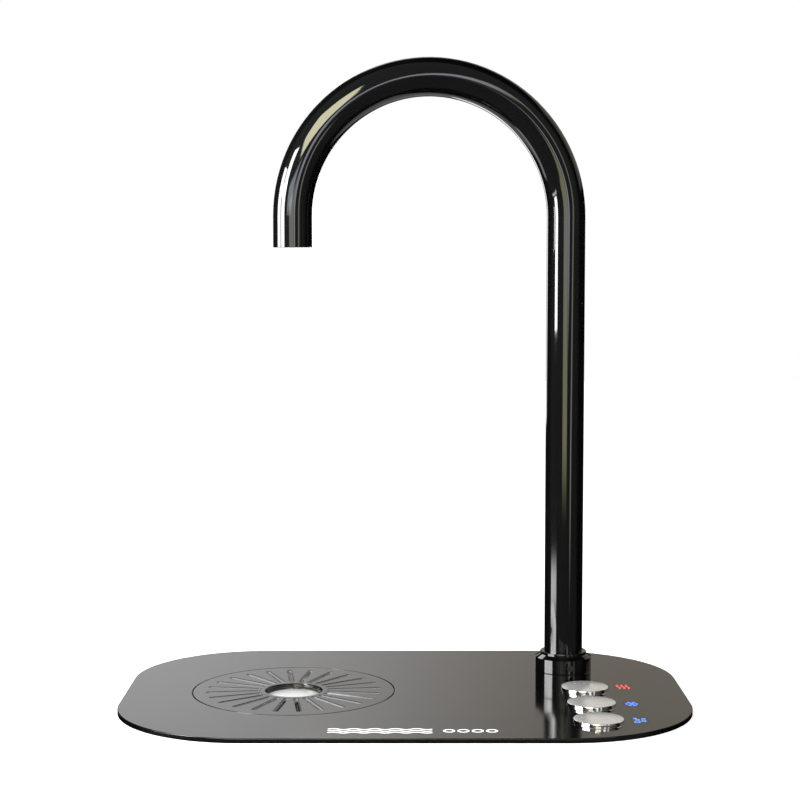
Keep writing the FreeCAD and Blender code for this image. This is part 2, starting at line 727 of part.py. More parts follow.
def button_spring(y):
    """Compression spring around the stem, from the floor of the bush to the roof of the cap."""
    wire_r = 0.4
    coil_r = 4.5
    turns = 6
    runs_per_turn = 12
    low = SPRING_WELL_FLOOR + wire_r + HAIR
    high = BUTTON_ROOF - wire_r - HAIR
    runs = turns * runs_per_turn
    points = [polar(BUTTON_X, y, coil_r, i * 360 / runs_per_turn, low + (high - low) * i / runs)
              for i in range(runs + 1)]
    section = Part.Wire(Part.makeCircle(wire_r, points[0], points[1] - points[0]))
    return Part.makePolygon(points).makePipeShell([section], True, False, ROUND_CORNERS)


def button_bush(y):
    """Threaded sleeve through the deck, with a low bezel flange on top and a well for the spring."""
    edge = 0.3
    bevel = 0.6
    bore_r = STEM_R + RUNNING_FIT
    return lathe(BUTTON_X, y, [
        (bore_r, BUSH_END), (BUSH_R - bevel, BUSH_END), (BUSH_R, BUSH_END + bevel), (BUSH_R, DECK_TOP),
        (BEZEL_R, DECK_TOP), (BEZEL_R, BEZEL_TOP - edge), (BEZEL_R - edge, BEZEL_TOP),
        (SPRING_WELL_R, BEZEL_TOP), (SPRING_WELL_R, SPRING_WELL_FLOOR), (bore_r, SPRING_WELL_FLOOR)])


def bush_nut(y):
    height = 4.5
    return nut(BUTTON_X, y, DECK_POCKET - height, DECK_POCKET, BUSH_NUT_FLATS, BUSH_R + HAIR)


def button_switch(y):
    """Square board-mounted switch; the stem's tip enters the hole in its top."""
    half = 5.9
    high = BOARD_TOP + 6.0
    bevel = 0.8
    hole_r = 2.0
    hole_floor = BOARD_TOP + 2.0
    body = block((BUTTON_X - half, BUTTON_X + half), (y - half, y + half), (BOARD_TOP, high))
    body = body.makeChamfer(bevel, edges_at(body, high))
    return body.cut(cylinder(BUTTON_X, y, hole_floor, high + OVERSHOOT, hole_r))


# ---------------------------------------------------------------- lit windows and electronics

def lit_window(y):
    """Flush window in the deck with a narrower light guide down to its lamp."""
    guide_x = 2.5
    guide_y = 3.5
    heights = (BOARD_TOP + 2.6, DECK_POCKET + HAIR)
    guide = block((WINDOW_X - guide_x, WINDOW_X + guide_x), (y - guide_y, y + guide_y), heights)
    return window_slab(y, 0, DECK_POCKET, DECK_TOP).fuse(guide).removeSplitter()


def status_lamp(y):
    half_x = 1.75
    half_y = 1.4
    height = 1.5
    lens_r = 1.1
    sunk = 0.3
    top = BOARD_TOP + height
    body = block((WINDOW_X - half_x, WINDOW_X + half_x), (y - half_y, y + half_y), (BOARD_TOP, top))
    lens = Part.makeSphere(lens_r, V(WINDOW_X, y, top - sunk))
    return body.fuse(lens).removeSplitter()


def housing_outline(inset, low, high):
    """Housing footprint: a box trimmed to the worktop cut-out and hollowed round the tap's nut."""
    clear = CUTOUT_INSET + 2.5
    nut_room = 22.0
    box = block((HOUSING_X[0] + inset, HOUSING_X[1] - inset), (HOUSING_Y[0] + inset, HOUSING_Y[1] - inset),
                (low, high))
    box = box.common(oval_plate(clear + inset, low - OVERSHOOT, high + OVERSHOOT))
    return box.cut(cylinder(TAP_X, TAP_Y, low - OVERSHOOT, high + OVERSHOOT, nut_room + inset))


def control_housing():
    inside = HOUSING_WALL
    floor_top = HOUSING_FLOOR + HOUSING_WALL
    boss_r = 5.0
    screw_hole_r = 1.7
    notch_r = BUSH_NUT_FLATS / math.sqrt(3) + 0.5
    gap = 0.2
    shell = housing_outline(0, HOUSING_FLOOR, HOUSING_TOP)
    shell = shell.cut(housing_outline(inside, floor_top, HOUSING_TOP + OVERSHOOT))
    for x, y in PILLARS:
        boss = cylinder(x, y, floor_top - HAIR, BOARD_TOP - BOARD_THICKNESS, boss_r)
        shell = shell.fuse(boss.common(housing_outline(0, HOUSING_FLOOR, HOUSING_TOP)))
        shell = shell.cut(cylinder(x, y, floor_top, 0, PILLAR_R + gap))
        shell = shell.cut(cylinder(x, y, HOUSING_FLOOR - OVERSHOOT, floor_top, screw_hole_r))
    for _, y in BUTTONS:
        shell = shell.cut(cylinder(BUTTON_X, y, BUSH_END - 1.0, HOUSING_TOP + OVERSHOOT, notch_r))
    port = [(low - gap, high + gap) for low, high in (SOCKET_Y, SOCKET_Z)]
    shell = shell.cut(block((HOUSING_X[0] - OVERSHOOT, HOUSING_X[0] + inside + gap), port[0], port[1]))
    return shell.removeSplitter()


def control_board():
    inset = HOUSING_WALL + 0.5
    low = BOARD_TOP - BOARD_THICKNESS
    board = housing_outline(inset, low, BOARD_TOP)
    for x, y in PILLARS:
        board = board.cut(cylinder(x, y, low - OVERSHOOT, BOARD_TOP + OVERSHOOT, PILLAR_R + 0.2))
    return board


def board_pillar(x, y):
    """Tapped pillar welded under the deck, which the housing screws into."""
    low = HOUSING_FLOOR + HOUSING_WALL
    bore_depth = 10.0
    body = cylinder(x, y, low, DECK_POCKET, PILLAR_R)
    return body.cut(cylinder(x, y, low - OVERSHOOT, low + bore_depth, PILLAR_BORE_R + HAIR))


def housing_screw(x, y):
    """Pan-head screw from below, with a cross recess."""
    head_r = 2.9
    head = 2.0
    end = HOUSING_FLOOR + HOUSING_WALL + 7.0
    low = HOUSING_FLOOR - head
    tip = 0.5
    cross_long = 1.5
    cross_short = 0.3
    cross_depth = 1.0
    screw = lathe(x, y, [
        (0, low), (head_r - 1.0, low), (head_r, low + 0.8), (head_r, HOUSING_FLOOR),
        (PILLAR_BORE_R, HOUSING_FLOOR), (PILLAR_BORE_R, end - tip), (PILLAR_BORE_R - tip, end), (0, end)])
    for half_x, half_y in ((cross_long, cross_short), (cross_short, cross_long)):
        slot = block((x - half_x, x + half_x), (y - half_y, y + half_y), (low - OVERSHOOT, low + cross_depth))
        screw = screw.cut(slot)
    return screw


def wiring_socket():
    """Board connector that faces out through the housing's wall, with a row of contact pins."""
    wall = 1.0
    back = 3.0
    body = block(SOCKET_X, SOCKET_Y, SOCKET_Z)
    inner_y = (SOCKET_Y[0] + wall, SOCKET_Y[1] - wall)
    inner_z = (SOCKET_Z[0] + wall, SOCKET_Z[1] - wall)
    body = body.cut(block((SOCKET_X[0] - OVERSHOOT, SOCKET_X[1] - back), inner_y, inner_z))
    pins = 4
    pin_half = 0.32
    pitch = (inner_y[1] - inner_y[0]) / pins
    middle_z = sum(SOCKET_Z) / 2
    for i in range(pins):
        y = inner_y[0] + (i + 0.5) * pitch
        pin = block((SOCKET_X[0] + 2.0, SOCKET_X[1] - back + HAIR), (y - pin_half, y + pin_half),
                    (middle_z - pin_half, middle_z + pin_half))
        body = body.fuse(pin)
    return body.removeSplitter()


# ---------------------------------------------------------------- export

os.makedirs("parts", exist_ok=True)

save("deck_plate", deck_plate())
save("deck_gasket", deck_gasket())
save("deck_studs", *[deck_stud(x, y) for x, y in clamp_places()])
save("clamp_brackets", *[clamp_bracket(x, y) for x, y in clamp_places()])
save("clamp_nuts", *[clamp_nut(x, y) for x, y in clamp_places()])

save("drip_grille", drip_grille())
save("grille_pads", *grille_pads())
save("splash_cap", splash_cap())
save("strainer_basket", strainer_basket())
save("drip_bowl", drip_bowl())
save("bowl_gasket", bowl_gasket())
save("bowl_studs", *[bowl_stud(spot) for spot in bowl_stud_places()])
save("bowl_nuts", *[bowl_nut(spot) for spot in bowl_stud_places()])
save("waste_body", waste_body())
save("waste_seal", waste_seal())
save("waste_washer", waste_washer())
save("waste_nut", waste_nut())

save("spout_tube", spout_tube())
save("swivel_collar", swivel_collar())
save("trim_ring", trim_ring())
save("stop_screw", stop_screw())
save("swivel_spigot", swivel_spigot())
save("thrust_washer", thrust_washer())
save("outlet_nozzle", outlet_nozzle())
for name, place in zip(("hot_line", "chilled_line", "sparkling_line"), line_places()):
    save(name, water_line(*place))
save("inlet_tails", *[inlet_tail(*place) for place in line_places()])
save("base_collar", base_collar())
save("collar_seal", collar_seal())
save("tap_shank", tap_shank())
save("swivel_bush", swivel_bush())
save("shank_seal_washer", shank_seal_washer())
save("shank_steel_washer", shank_steel_washer())
save("shank_nut", shank_nut())

for name, y in BUTTONS:
    save(name + "_cap", button_cap(y))
    save(name + "_stem", button_stem(y))
    save(name + "_spring", button_spring(y))
    save(name + "_clip", button_clip(y))
save("button_bushes", *[button_bush(y) for _, y in BUTTONS])
save("bush_nuts", *[bush_nut(y) for _, y in BUTTONS])
save("button_switches", *[button_switch(y) for _, y in BUTTONS])

for name, y in WINDOWS:
    save(name + "_window", lit_window(y))
save("status_lamps", *[status_lamp(y) for _, y in WINDOWS])
save("control_board", control_board())
save("board_pillars", *[board_pillar(x, y) for x, y in PILLARS])
save("control_housing", control_housing())
save("housing_screws", *[housing_screw(x, y) for x, y in PILLARS])
save("wiring_socket", wiring_socket())
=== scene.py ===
import json
import math

import bmesh
import bpy
from mathutils import Matrix, Vector


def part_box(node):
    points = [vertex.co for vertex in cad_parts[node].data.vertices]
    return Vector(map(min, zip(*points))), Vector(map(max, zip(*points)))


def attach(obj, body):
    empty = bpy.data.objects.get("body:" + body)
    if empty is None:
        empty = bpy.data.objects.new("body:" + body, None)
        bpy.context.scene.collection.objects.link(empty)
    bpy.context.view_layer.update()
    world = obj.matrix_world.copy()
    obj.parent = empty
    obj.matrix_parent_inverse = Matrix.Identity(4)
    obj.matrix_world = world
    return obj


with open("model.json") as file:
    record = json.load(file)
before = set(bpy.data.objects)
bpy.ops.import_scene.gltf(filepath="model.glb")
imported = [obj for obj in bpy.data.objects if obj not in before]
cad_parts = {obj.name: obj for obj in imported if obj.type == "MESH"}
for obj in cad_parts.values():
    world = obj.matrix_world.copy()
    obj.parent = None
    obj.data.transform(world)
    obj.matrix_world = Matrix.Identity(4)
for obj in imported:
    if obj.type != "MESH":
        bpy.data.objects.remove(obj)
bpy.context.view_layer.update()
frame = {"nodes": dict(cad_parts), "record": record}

MM = 0.001
NODES = frame["nodes"]
BUTTONS = ("hot", "chilled", "sparkling")
DECK_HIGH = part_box("deck_plate")[1]
DECK_TOP = DECK_HIGH.z


# ---------------------------------------------------------------- camera

SENSOR_WIDTH_MM = 36.0
LENS_MM = 81.6
CAMERA_PLACE = (-3.1 * MM, -1158.3 * MM, 282.3 * MM)
CAMERA_TILT_DOWN = 4.47
CAMERA_REACH = 100.0


def add_camera():
    """The viewpoint: in front of the deck, a little above it and tipped slightly down."""
    data = bpy.data.cameras.new("view_camera")
    data.sensor_width = SENSOR_WIDTH_MM
    data.lens = LENS_MM
    data.clip_end = CAMERA_REACH
    camera = bpy.data.objects.new("view_camera", data)
    bpy.context.scene.collection.objects.link(camera)
    camera.location = CAMERA_PLACE
    camera.rotation_euler = (math.radians(90.0 - CAMERA_TILT_DOWN), 0.0, 0.0)
    bpy.context.scene.camera = camera


# ---------------------------------------------------------------- node helpers

class Graph:
    """Short names for building a node tree."""

    def __init__(self, tree):
        self.tree = tree
        tree.nodes.clear()

    def add(self, kind, inputs=None, **settings):
        node = self.tree.nodes.new(kind)
        for key, value in settings.items():
            setattr(node, key, value)
        for key, value in (inputs or {}).items():
            self.feed(node, key, value)
        return node

    def feed(self, node, key, value):
        """Link a socket to an input, or set the input where the value is plain."""
        if isinstance(value, bpy.types.NodeSocket):
            self.tree.links.new(value, node.inputs[key])
        else:
            node.inputs[key].default_value = value

    def math(self, operation, *values, clamp=False):
        node = self.add("ShaderNodeMath", operation=operation, use_clamp=clamp)
        for i, value in enumerate(values):
            self.feed(node, i, value)
        return node.outputs[0]

    def product(self, *values):
        result = values[0]
        for value in values[1:]:
            result = self.math("MULTIPLY", result, value)
        return result

    def vector(self, operation, a, b):
        node = self.add("ShaderNodeVectorMath", operation=operation)
        self.feed(node, 0, a)
        self.feed(node, 1, b)
        return node.outputs[0]

    def mix(self, factor, a, b):
        node = self.add("ShaderNodeMix", data_type="RGBA")
        self.feed(node, 0, factor)
        self.feed(node, 6, a)
        self.feed(node, 7, b)
        return node.outputs[2]

    def ramp(self, value, low, high, low_out=0.0, high_out=1.0, smooth=True):
        node = self.add("ShaderNodeMapRange", clamp=True)
        node.interpolation_type = "SMOOTHSTEP" if smooth else "LINEAR"
        for key, v in (("Value", value), ("From Min", low), ("From Max", high), ("To Min", low_out),
                       ("To Max", high_out)):
            self.feed(node, key, v)
        return node.outputs["Result"]


def rgba(colour):
    return (*colour, 1.0)


# ---------------------------------------------------------------- materials

class Surface:
    """A Principled material with object-space coordinates and a few ready textures."""

    def __init__(self, name, **constants):
        self.material = bpy.data.materials.new(name)
        self.material.use_nodes = True
        self.graph = Graph(self.material.node_tree)
        self.shader = self.graph.add("ShaderNodeBsdfPrincipled")
        output = self.graph.add("ShaderNodeOutputMaterial")
        self.graph.tree.links.new(self.shader.outputs[0], output.inputs[0])
        place = self.graph.add("ShaderNodeTexCoord")
        self.coordinates = place.outputs["Object"]
        self.normal = place.outputs["Normal"]
        for key, value in constants.items():
            self.shader.inputs[key.replace("_", " ")].default_value = value

    def stretched(self, scale):
        return self.graph.add("ShaderNodeMapping", {"Vector": self.coordinates, "Scale": scale}).outputs[0]

    def noise(self, scale, detail=3.0, roughness=0.5, vector=None):
        inputs = {"Vector": vector or self.coordinates, "Scale": scale, "Detail": detail,
                  "Roughness": roughness}
        return self.graph.add("ShaderNodeTexNoise", inputs).outputs[0]

    def cells(self, scale):
        inputs = {"Vector": self.coordinates, "Scale": scale}
        return self.graph.add("ShaderNodeTexVoronoi", inputs).outputs["Distance"]

    def upward(self, low, high, low_out=0.0, high_out=1.0):
        """Goes from low_out on walls to high_out on faces that look up."""
        split = self.graph.add("ShaderNodeSeparateXYZ", {0: self.normal})
        return self.graph.ramp(split.outputs[2], low, high, low_out, high_out)

    def colour(self, factor, a, b):
        self.graph.feed(self.shader, "Base Color", self.graph.mix(factor, rgba(a), rgba(b)))

    def roughness(self, factor, span):
        self.graph.feed(self.shader, "Roughness", self.graph.ramp(factor, 0.0, 1.0, *span, smooth=False))

    def bump(self, height, strength, distance):
        node = self.graph.add("ShaderNodeBump", {"Height": height, "Strength": strength, "Distance": distance})
        self.graph.feed(self.shader, "Normal", node.outputs[0])


def black_spray(name, rough=(0.10, 0.14), peel=0.05):
    """Sprayed black with faint orange peel and a little dust in the shine: the deck's, unless told otherwise."""
    s = Surface(name, IOR=1.5)
    s.colour(s.noise(40.0), (0.0010, 0.0010, 0.0012), (0.0024, 0.0024, 0.0026))
    s.roughness(s.noise(220.0, 4.0), rough)
    s.bump(s.noise(450.0, 2.0), peel, 0.02 * MM)
    return s


def slotted_black_painted_sheen(name):
    """The deck's black on top, with painted sheen: a pale grey on the upright walls of the slots in place of the
    reflected sheen seen there.
    """
    inside, outside, blend = 20 * MM, 60 * MM, 2 * MM
    s = black_spray(name)
    g = s.graph
    low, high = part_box("drip_grille")
    spread = g.vector("SUBTRACT", s.coordinates, (low + high) / 2)
    flat = g.vector("MULTIPLY", spread, (1.0, 1.0, 0.0))
    radius = g.add("ShaderNodeVectorMath", {0: flat}, operation="LENGTH").outputs["Value"]
    slots = g.product(g.ramp(radius, inside, inside + blend),
                      g.ramp(radius, outside - blend, outside, 1.0, 0.0))
    walls = s.upward(0.25, 0.6, 1.0, 0.0)
    black = s.shader.inputs["Base Color"].links[0].from_socket
    # Painted sheen: the slot walls get a pale grey base colour that stands in for sheen reflected in the slots,
    # on a grille that is gloss black throughout.
    g.feed(s.shader, "Base Color", g.mix(g.product(walls, slots), black, rgba((0.30, 0.30, 0.31))))
    return s.material


def polished_metal(name, light, dark, rough):
    """Bright metal with very fine polishing marks."""
    s = Surface(name, Metallic=1.0)
    s.colour(s.noise(60.0), light, dark)
    s.roughness(s.noise(300.0, 5.0), rough)
    s.bump(s.noise(900.0, 2.0), 0.03, 0.01 * MM)
    return s.material


def satin_topped(name, light, dark, top_metal):
    """Bright metal, polished on the sides and satin on the upward faces, with soft streaks."""
    s = Surface(name)
    g = s.graph
    upward = s.upward(0.75, 0.95)
    streaks = s.noise(1.0, 4.0, 0.6, s.stretched((60.0, 420.0, 60.0)))
    s.colour(streaks, light, dark)
    g.feed(s.shader, "Metallic", g.math("MULTIPLY_ADD", upward, top_metal - 1.0, 1.0))
    satin = g.ramp(streaks, 0.2, 0.8, 0.16, 0.30)
    g.feed(s.shader, "Roughness", g.math("MAXIMUM", g.product(upward, satin), 0.08))
    s.bump(s.noise(900.0, 2.0), 0.03, 0.01 * MM)
    return s.material


def brushed_metal(name, light, dark, rough, grain=(900.0, 30.0, 900.0)):
    """Metal with a drawn or brushed grain along one axis."""
    s = Surface(name, Metallic=1.0)
    lines = s.noise(1.0, 4.0, 0.6, s.stretched(grain))
    s.colour(lines, light, dark)
    s.roughness(lines, rough)
    s.bump(lines, 0.12, 0.03 * MM)
    return s.material


def zinc_plate(name):
    """Bright plated steel with a faint blue and yellow cloud."""
    s = Surface(name, Metallic=1.0)
    s.colour(s.noise(120.0, 2.0), (0.60, 0.64, 0.68), (0.74, 0.72, 0.64))
    s.roughness(s.noise(500.0, 4.0), (0.22, 0.38))
    s.bump(s.cells(1400.0), 0.05, 0.02 * MM)
    return s.material


def machined_brass(name):
    """Brass with fine turning marks round its axis."""
    s = Surface(name, Metallic=1.0)
    turning = s.noise(1.0, 2.0, 0.5, s.stretched((20.0, 20.0, 3500.0)))
    s.colour(s.noise(90.0), (0.80, 0.60, 0.30), (0.66, 0.47, 0.20))
    s.roughness(turning, (0.18, 0.34))
    s.bump(turning, 0.2, 0.03 * MM)
    return s.material


def rubber(name):
    """Matt black rubber with a fine skin."""
    s = Surface(name)
    s.colour(s.noise(300.0), (0.012, 0.012, 0.012), (0.030, 0.029, 0.028))
    s.roughness(s.noise(800.0), (0.62, 0.82))
    s.bump(s.noise(2500.0, 2.0), 0.25, 0.04 * MM)
    return s.material


def spark_plastic(name, light, dark, rough=(0.42, 0.6)):
    """Moulded plastic with a fine spark-eroded texture."""
    s = Surface(name)
    s.colour(s.noise(150.0), light, dark)
    s.roughness(s.noise(700.0), rough)
    s.bump(s.cells(2200.0), 0.25, 0.04 * MM)
    return s.material


def solder_mask(name):
    """Green circuit board with copper tracks showing faintly under the mask."""
    s = Surface(name, Coat_Weight=0.6, Coat_Roughness=0.12)
    tracks = s.graph.add("ShaderNodeTexBrick", {
        "Vector": s.coordinates, "Scale": 160.0, "Mortar Size": 0.035,
        "Color1": rgba((0.010, 0.110, 0.045)), "Color2": rgba((0.012, 0.135, 0.055)),
        "Mortar": rgba((0.030, 0.230, 0.090))})
    s.graph.feed(s.shader, "Base Color", tracks.outputs[0])
    s.roughness(s.noise(500.0), (0.30, 0.45))
    s.bump(tracks.outputs[1], 0.3, 0.04 * MM)
    return s.material


def lit_plastic(name, glow, strength):
    """Translucent symbol with a lamp behind it, uneven like a real light guide."""
    s = Surface(name)
    s.colour(s.noise(400.0), glow, [c * 0.75 for c in glow])
    s.roughness(s.noise(600.0), (0.25, 0.35))
    paler = [c ** 0.7 for c in glow]
    s.graph.feed(s.shader, "Emission Color", s.graph.mix(s.noise(250.0), rgba(glow), rgba(paler)))
    s.shader.inputs["Emission Strength"].default_value = strength
    return s.material


def white_ink_painted_glow(name):
    """Screen-printed white with a painted glow: a little emission that brightens the print, though ink gives off
    no light.
    """
    s = Surface(name)
    s.colour(s.noise(700.0), (0.86, 0.86, 0.86), (0.78, 0.78, 0.79))
    s.roughness(s.noise(900.0), (0.35, 0.5))
    s.bump(s.noise(3000.0), 0.2, 0.02 * MM)
    # Painted glow: emission on the white print, which is no lamp.
    s.shader.inputs["Emission Color"].default_value = rgba((1.0, 1.0, 1.0))
    s.shader.inputs["Emission Strength"].default_value = 0.55
    return s.material


def slot_materials():
    """One material for each slot of the record, apart from the windows' slots."""
    return {
        "gloss_black": black_spray("gloss_black", (0.035, 0.06), 0.015).material,
        "button_chrome": satin_topped("button_chrome", (0.88, 0.875, 0.86), (0.66, 0.655, 0.64), 0.68),
        "polished_steel": polished_metal("polished_steel", (0.82, 0.82, 0.82), (0.74, 0.74, 0.74),
                                         (0.14, 0.22)),
        "brushed_steel": brushed_metal("brushed_steel", (0.66, 0.66, 0.66), (0.52, 0.52, 0.53), (0.22, 0.38)),
        "tail_steel": brushed_metal("tail_steel", (0.70, 0.70, 0.69), (0.56, 0.56, 0.56), (0.2, 0.34),
                                    grain=(900.0, 900.0, 40.0)),
        "zinc_steel": zinc_plate("zinc_steel"),
        "spring_steel": brushed_metal("spring_steel", (0.52, 0.52, 0.53), (0.38, 0.38, 0.40), (0.25, 0.4)),
        "brass": machined_brass("brass"),
        "black_rubber": rubber("black_rubber"),
        "black_plastic": spark_plastic("black_plastic", (0.016, 0.016, 0.017), (0.028, 0.028, 0.029)),
        "white_plastic": spark_plastic("white_plastic", (0.80, 0.80, 0.77), (0.72, 0.72, 0.69), (0.3, 0.45)),
        "lamp_white": spark_plastic("lamp_white", (0.88, 0.88, 0.82), (0.80, 0.80, 0.72), (0.25, 0.4)),
        "board_green": solder_mask("board_green"),
    }


def node_materials():
    """Finishes of single nodes, which come before their slot's."""
    deck_black = black_spray("deck_black").material
    finishes = {button + "_window": deck_black for button in BUTTONS}
    finishes["deck_plate"] = deck_black
    finishes["drip_grille"] = slotted_black_painted_sheen("grille_black_painted_sheen")
    finishes["splash_cap"] = satin_topped("cap_silver", (0.60, 0.60, 0.60), (0.46, 0.46, 0.46), 0.30)
    finishes["stop_screw"] = brushed_metal("screw_black", (0.06, 0.06, 0.06), (0.03, 0.03, 0.03),
                                           (0.3, 0.45))
    return finishes


def dress_frame():
    """Gives every CAD node its finish, and keeps the buttons out of the deck's reflections."""
    by_slot = slot_materials()
    by_node = node_materials()
    for row in frame["record"]["subparts"]:
        node = row["node"]
        materials = NODES[node].data.materials
        materials.clear()
        materials.append(by_node[node] if node in by_node else by_slot[row["material_slot"]])
    for node in [button + "_cap" for button in BUTTONS] + ["button_bushes"]:
        NODES[node].visible_glossy = False


# ---------------------------------------------------------------- floor

DECK_CORNER = 83 * MM
CUTOUT_INSET = 9 * MM
CORNER_STEPS = 24
FLOOR_RINGS = (1.0, 1.5, 4.0)
FLOOR_RADIUS = 4.0


def cutout_outline():
    """Points of the deck's outline drawn in by the inset, anticlockwise."""
    corner = DECK_CORNER - CUTOUT_INSET
    middle_x = DECK_HIGH.x - DECK_CORNER
    middle_y = DECK_HIGH.y - DECK_CORNER
    points = []
    for quarter, (sign_x, sign_y) in enumerate(((1, 1), (-1, 1), (-1, -1), (1, -1))):
        for i in range(CORNER_STEPS + 1):
            turn = math.radians(90 * quarter + 90 * i / CORNER_STEPS)
            points.append(Vector((sign_x * middle_x + corner * math.cos(turn),
                                  sign_y * middle_y + corner * math.sin(turn), 0.0)))
    return points


def add_floor():
    """Plain pale worktop with the cut-out that the deck covers."""
    inner = cutout_outline()
    bm = bmesh.new()
    loops = [[bm.verts.new(p * scale) for p in inner] for scale in FLOOR_RINGS]
    loops.append([bm.verts.new(p.normalized() * FLOOR_RADIUS) for p in inner])
    count = len(inner)
    for a, b in zip(loops, loops[1:]):
        for i in range(count):
            j = (i + 1) % count
            bm.faces.new((a[i], b[i], b[j], a[j]))
    mesh = bpy.data.meshes.new("floor")
    bm.to_mesh(mesh)
    bm.free()
    floor = bpy.data.objects.new("floor", mesh)
    bpy.context.scene.collection.objects.link(floor)
    s = Surface("floor_pale", Roughness=0.9)
    s.colour(s.noise(3.0), (0.90, 0.90, 0.90), (0.88, 0.88, 0.88))
    s.shader.inputs["Emission Color"].default_value = rgba((1.0, 1.0, 1.0))
    s.shader.inputs["Emission Strength"].default_value = 0.35
    mesh.materials.append(s.material)
    floor.visible_glossy = False


# ---------------------------------------------------------------- light

WHITE = (1.0, 1.0, 1.0)
NEAR_WHITE = (1.0, 0.99, 0.97)
ROOM_GREY = (0.23, 0.23, 0.235)
WORKTOP_GREY = (0.8, 0.8, 0.8)
WINDOW_WARM = (1.0, 0.955, 0.66)

# Azimuths, elevations, softness of the edges, colour and strength, with the angles in degrees.
PANELS = (
    ((-86.5, -50.0), (9.9, 14.6), 0.6, NEAR_WHITE, 41.0),
    ((-86.5, -50.0), (-11.0, -9.6), 0.5, NEAR_WHITE, 9.5),
    ((-112.0, -95.0), (-50.0, -19.0), 2.0, WHITE, 2.6),
    ((-31.0, -5.0), (2.6, 11.0), 1.4, (0.85, 0.95, 1.0), 5.0),
)

# Azimuth and elevation of the bends of the thin lamp to the front right, in degrees.
LAMP_BENDS = ((13.0, 1.0), (9.3, 7.0), (16.0, 8.3), (22.7, 15.7), (31.0, 22.0), (36.5, 21.8),
              (41.0, 12.0), (41.0, 4.0), (35.5, -2.6), (32.0, -7.0))

# Name, the two floor points it stands between, bottom and top, all in millimetres, and radiance.
SOFT_BOXES = (
    ("left_box", (-550.0, -445.0), (-640.0, -232.0), 204.0, 700.0, 27.0),
    ("side_box", (-251.0, -64.0), (-251.0, 8.0), 290.0, 410.0, 22.0),
    ("rear_box", (-95.0, 310.0), (10.0, 240.0), 150.0, 330.0, 4.0),
)


class Studio(Graph):
    """The world's node tree, with soft-edged lights placed by direction in degrees.

    Azimuth is 0 towards the user and negative on the left. Behind is 0 straight away from the user."""

    def __init__(self, tree):
        super().__init__(tree)
        direction = self.add("ShaderNodeTexCoord").outputs["Generated"]
        x, y, z = self.add("ShaderNodeSeparateXYZ", {0: direction}).outputs[:3]
        degrees = 180.0 / math.pi
        self.azimuth = self.product(self.math("ARCTAN2", x, self.product(y, -1.0)), degrees)
        self.behind = self.product(self.math("ARCTAN2", x, y), degrees)
        self.elevation = self.product(self.math("ARCSINE", z), degrees)

    def band(self, value, low, high, soft):
        """1 between low and high, fading to 0 across a soft edge on each side."""
        return self.product(self.ramp(value, low - soft, low + soft),
                            self.ramp(value, high - soft, high + soft, 1.0, 0.0))

    def glow(self, mask, colour, strength=1.0):
        node = self.add("ShaderNodeVectorMath", operation="SCALE")
        self.feed(node, 0, colour)
        self.feed(node, "Scale", self.product(mask, strength))
        return node.outputs[0]

    def panel(self, azimuths, elevations, soft, colour, strength):
        mask = self.product(self.band(self.azimuth, *azimuths, soft),
                            self.band(self.elevation, *elevations, soft))
        return self.glow(mask, colour, strength)

    def line_distance(self, bends):
        """Angular distance to a broken line of (azimuth, elevation) points."""
        nearest = None
        for (ax, ay), (bx, by) in zip(bends, bends[1:]):
            run, climb = bx - ax, by - ay
            across = self.math("SUBTRACT", self.azimuth, ax)
            up = self.math("SUBTRACT", self.elevation, ay)
            dot = self.math("MULTIPLY_ADD", up, climb, self.product(across, run))
            share = self.math("DIVIDE", dot, run * run + climb * climb, clamp=True)
            gap_x = self.math("MULTIPLY_ADD", share, -run, across)
            gap_y = self.math("MULTIPLY_ADD", share, -climb, up)
            gap = self.math("MULTIPLY_ADD", gap_x, gap_x, self.product(gap_y, gap_y))
            nearest = gap if nearest is None else self.math("MINIMUM", nearest, gap)
        return self.math("SQRT", nearest)


def room_light(g):
    """Dim room all round, darker on both sides and a little darker below."""
    right = g.ramp(g.azimuth, 62.0, 92.0, 1.0, 0.02)
    left = g.ramp(g.azimuth, -112.0, -84.0, 0.06, 1.0)
    height = g.ramp(g.elevation, -8.0, 8.0, 0.6, 1.0)
    return g.glow(g.product(right, height, left), ROOM_GREY)


def worktop_light(g):
    """Pale worktop behind and below, met only at the tube's lower edges."""
    mask = g.product(g.band(g.elevation, -65.0, -28.0, 3.0), g.band(g.behind, -70.0, 70.0, 6.0))
    return g.glow(mask, WORKTOP_GREY)


def back_light(g):
    """Behind the object, above what the eye sees past it: brighter on the left."""
    side = g.ramp(g.behind, -9.0, 7.5)
    colour = g.mix(side, rgba((1.10, 1.10, 1.11)), rgba((0.46, 0.42, 0.36)))
    mask = g.product(g.band(g.elevation, 9.5, 38.0, 1.5), g.band(g.behind, -14.0, 75.0, 2.0))
    return g.glow(mask, colour)


def bent_lamp(g):
    """Thin bent lamp to the front right, bluish and strong near the middle, warm and weaker outside."""
    mask = g.ramp(g.line_distance(LAMP_BENDS), 1.5, 4.5, 1.0, 0.0)
    colour = g.mix(g.ramp(g.azimuth, 16.0, 38.0), rgba((0.86, 0.86, 1.0)), rgba((1.0, 1.0, 0.80)))
    return g.glow(mask, colour, g.ramp(g.azimuth, 18.0, 40.0, 5.4, 2.4))


def front_strip(g):
    """Low panel straight in front, yellower towards the bottom."""
    colour = g.mix(g.ramp(g.elevation, -5.5, 2.0), rgba((1.0, 1.0, 0.52)), rgba((0.98, 1.0, 0.88)))
    return g.panel((-18.0, 8.0), (-7.0, 5.0), 1.5, colour, 3.2)


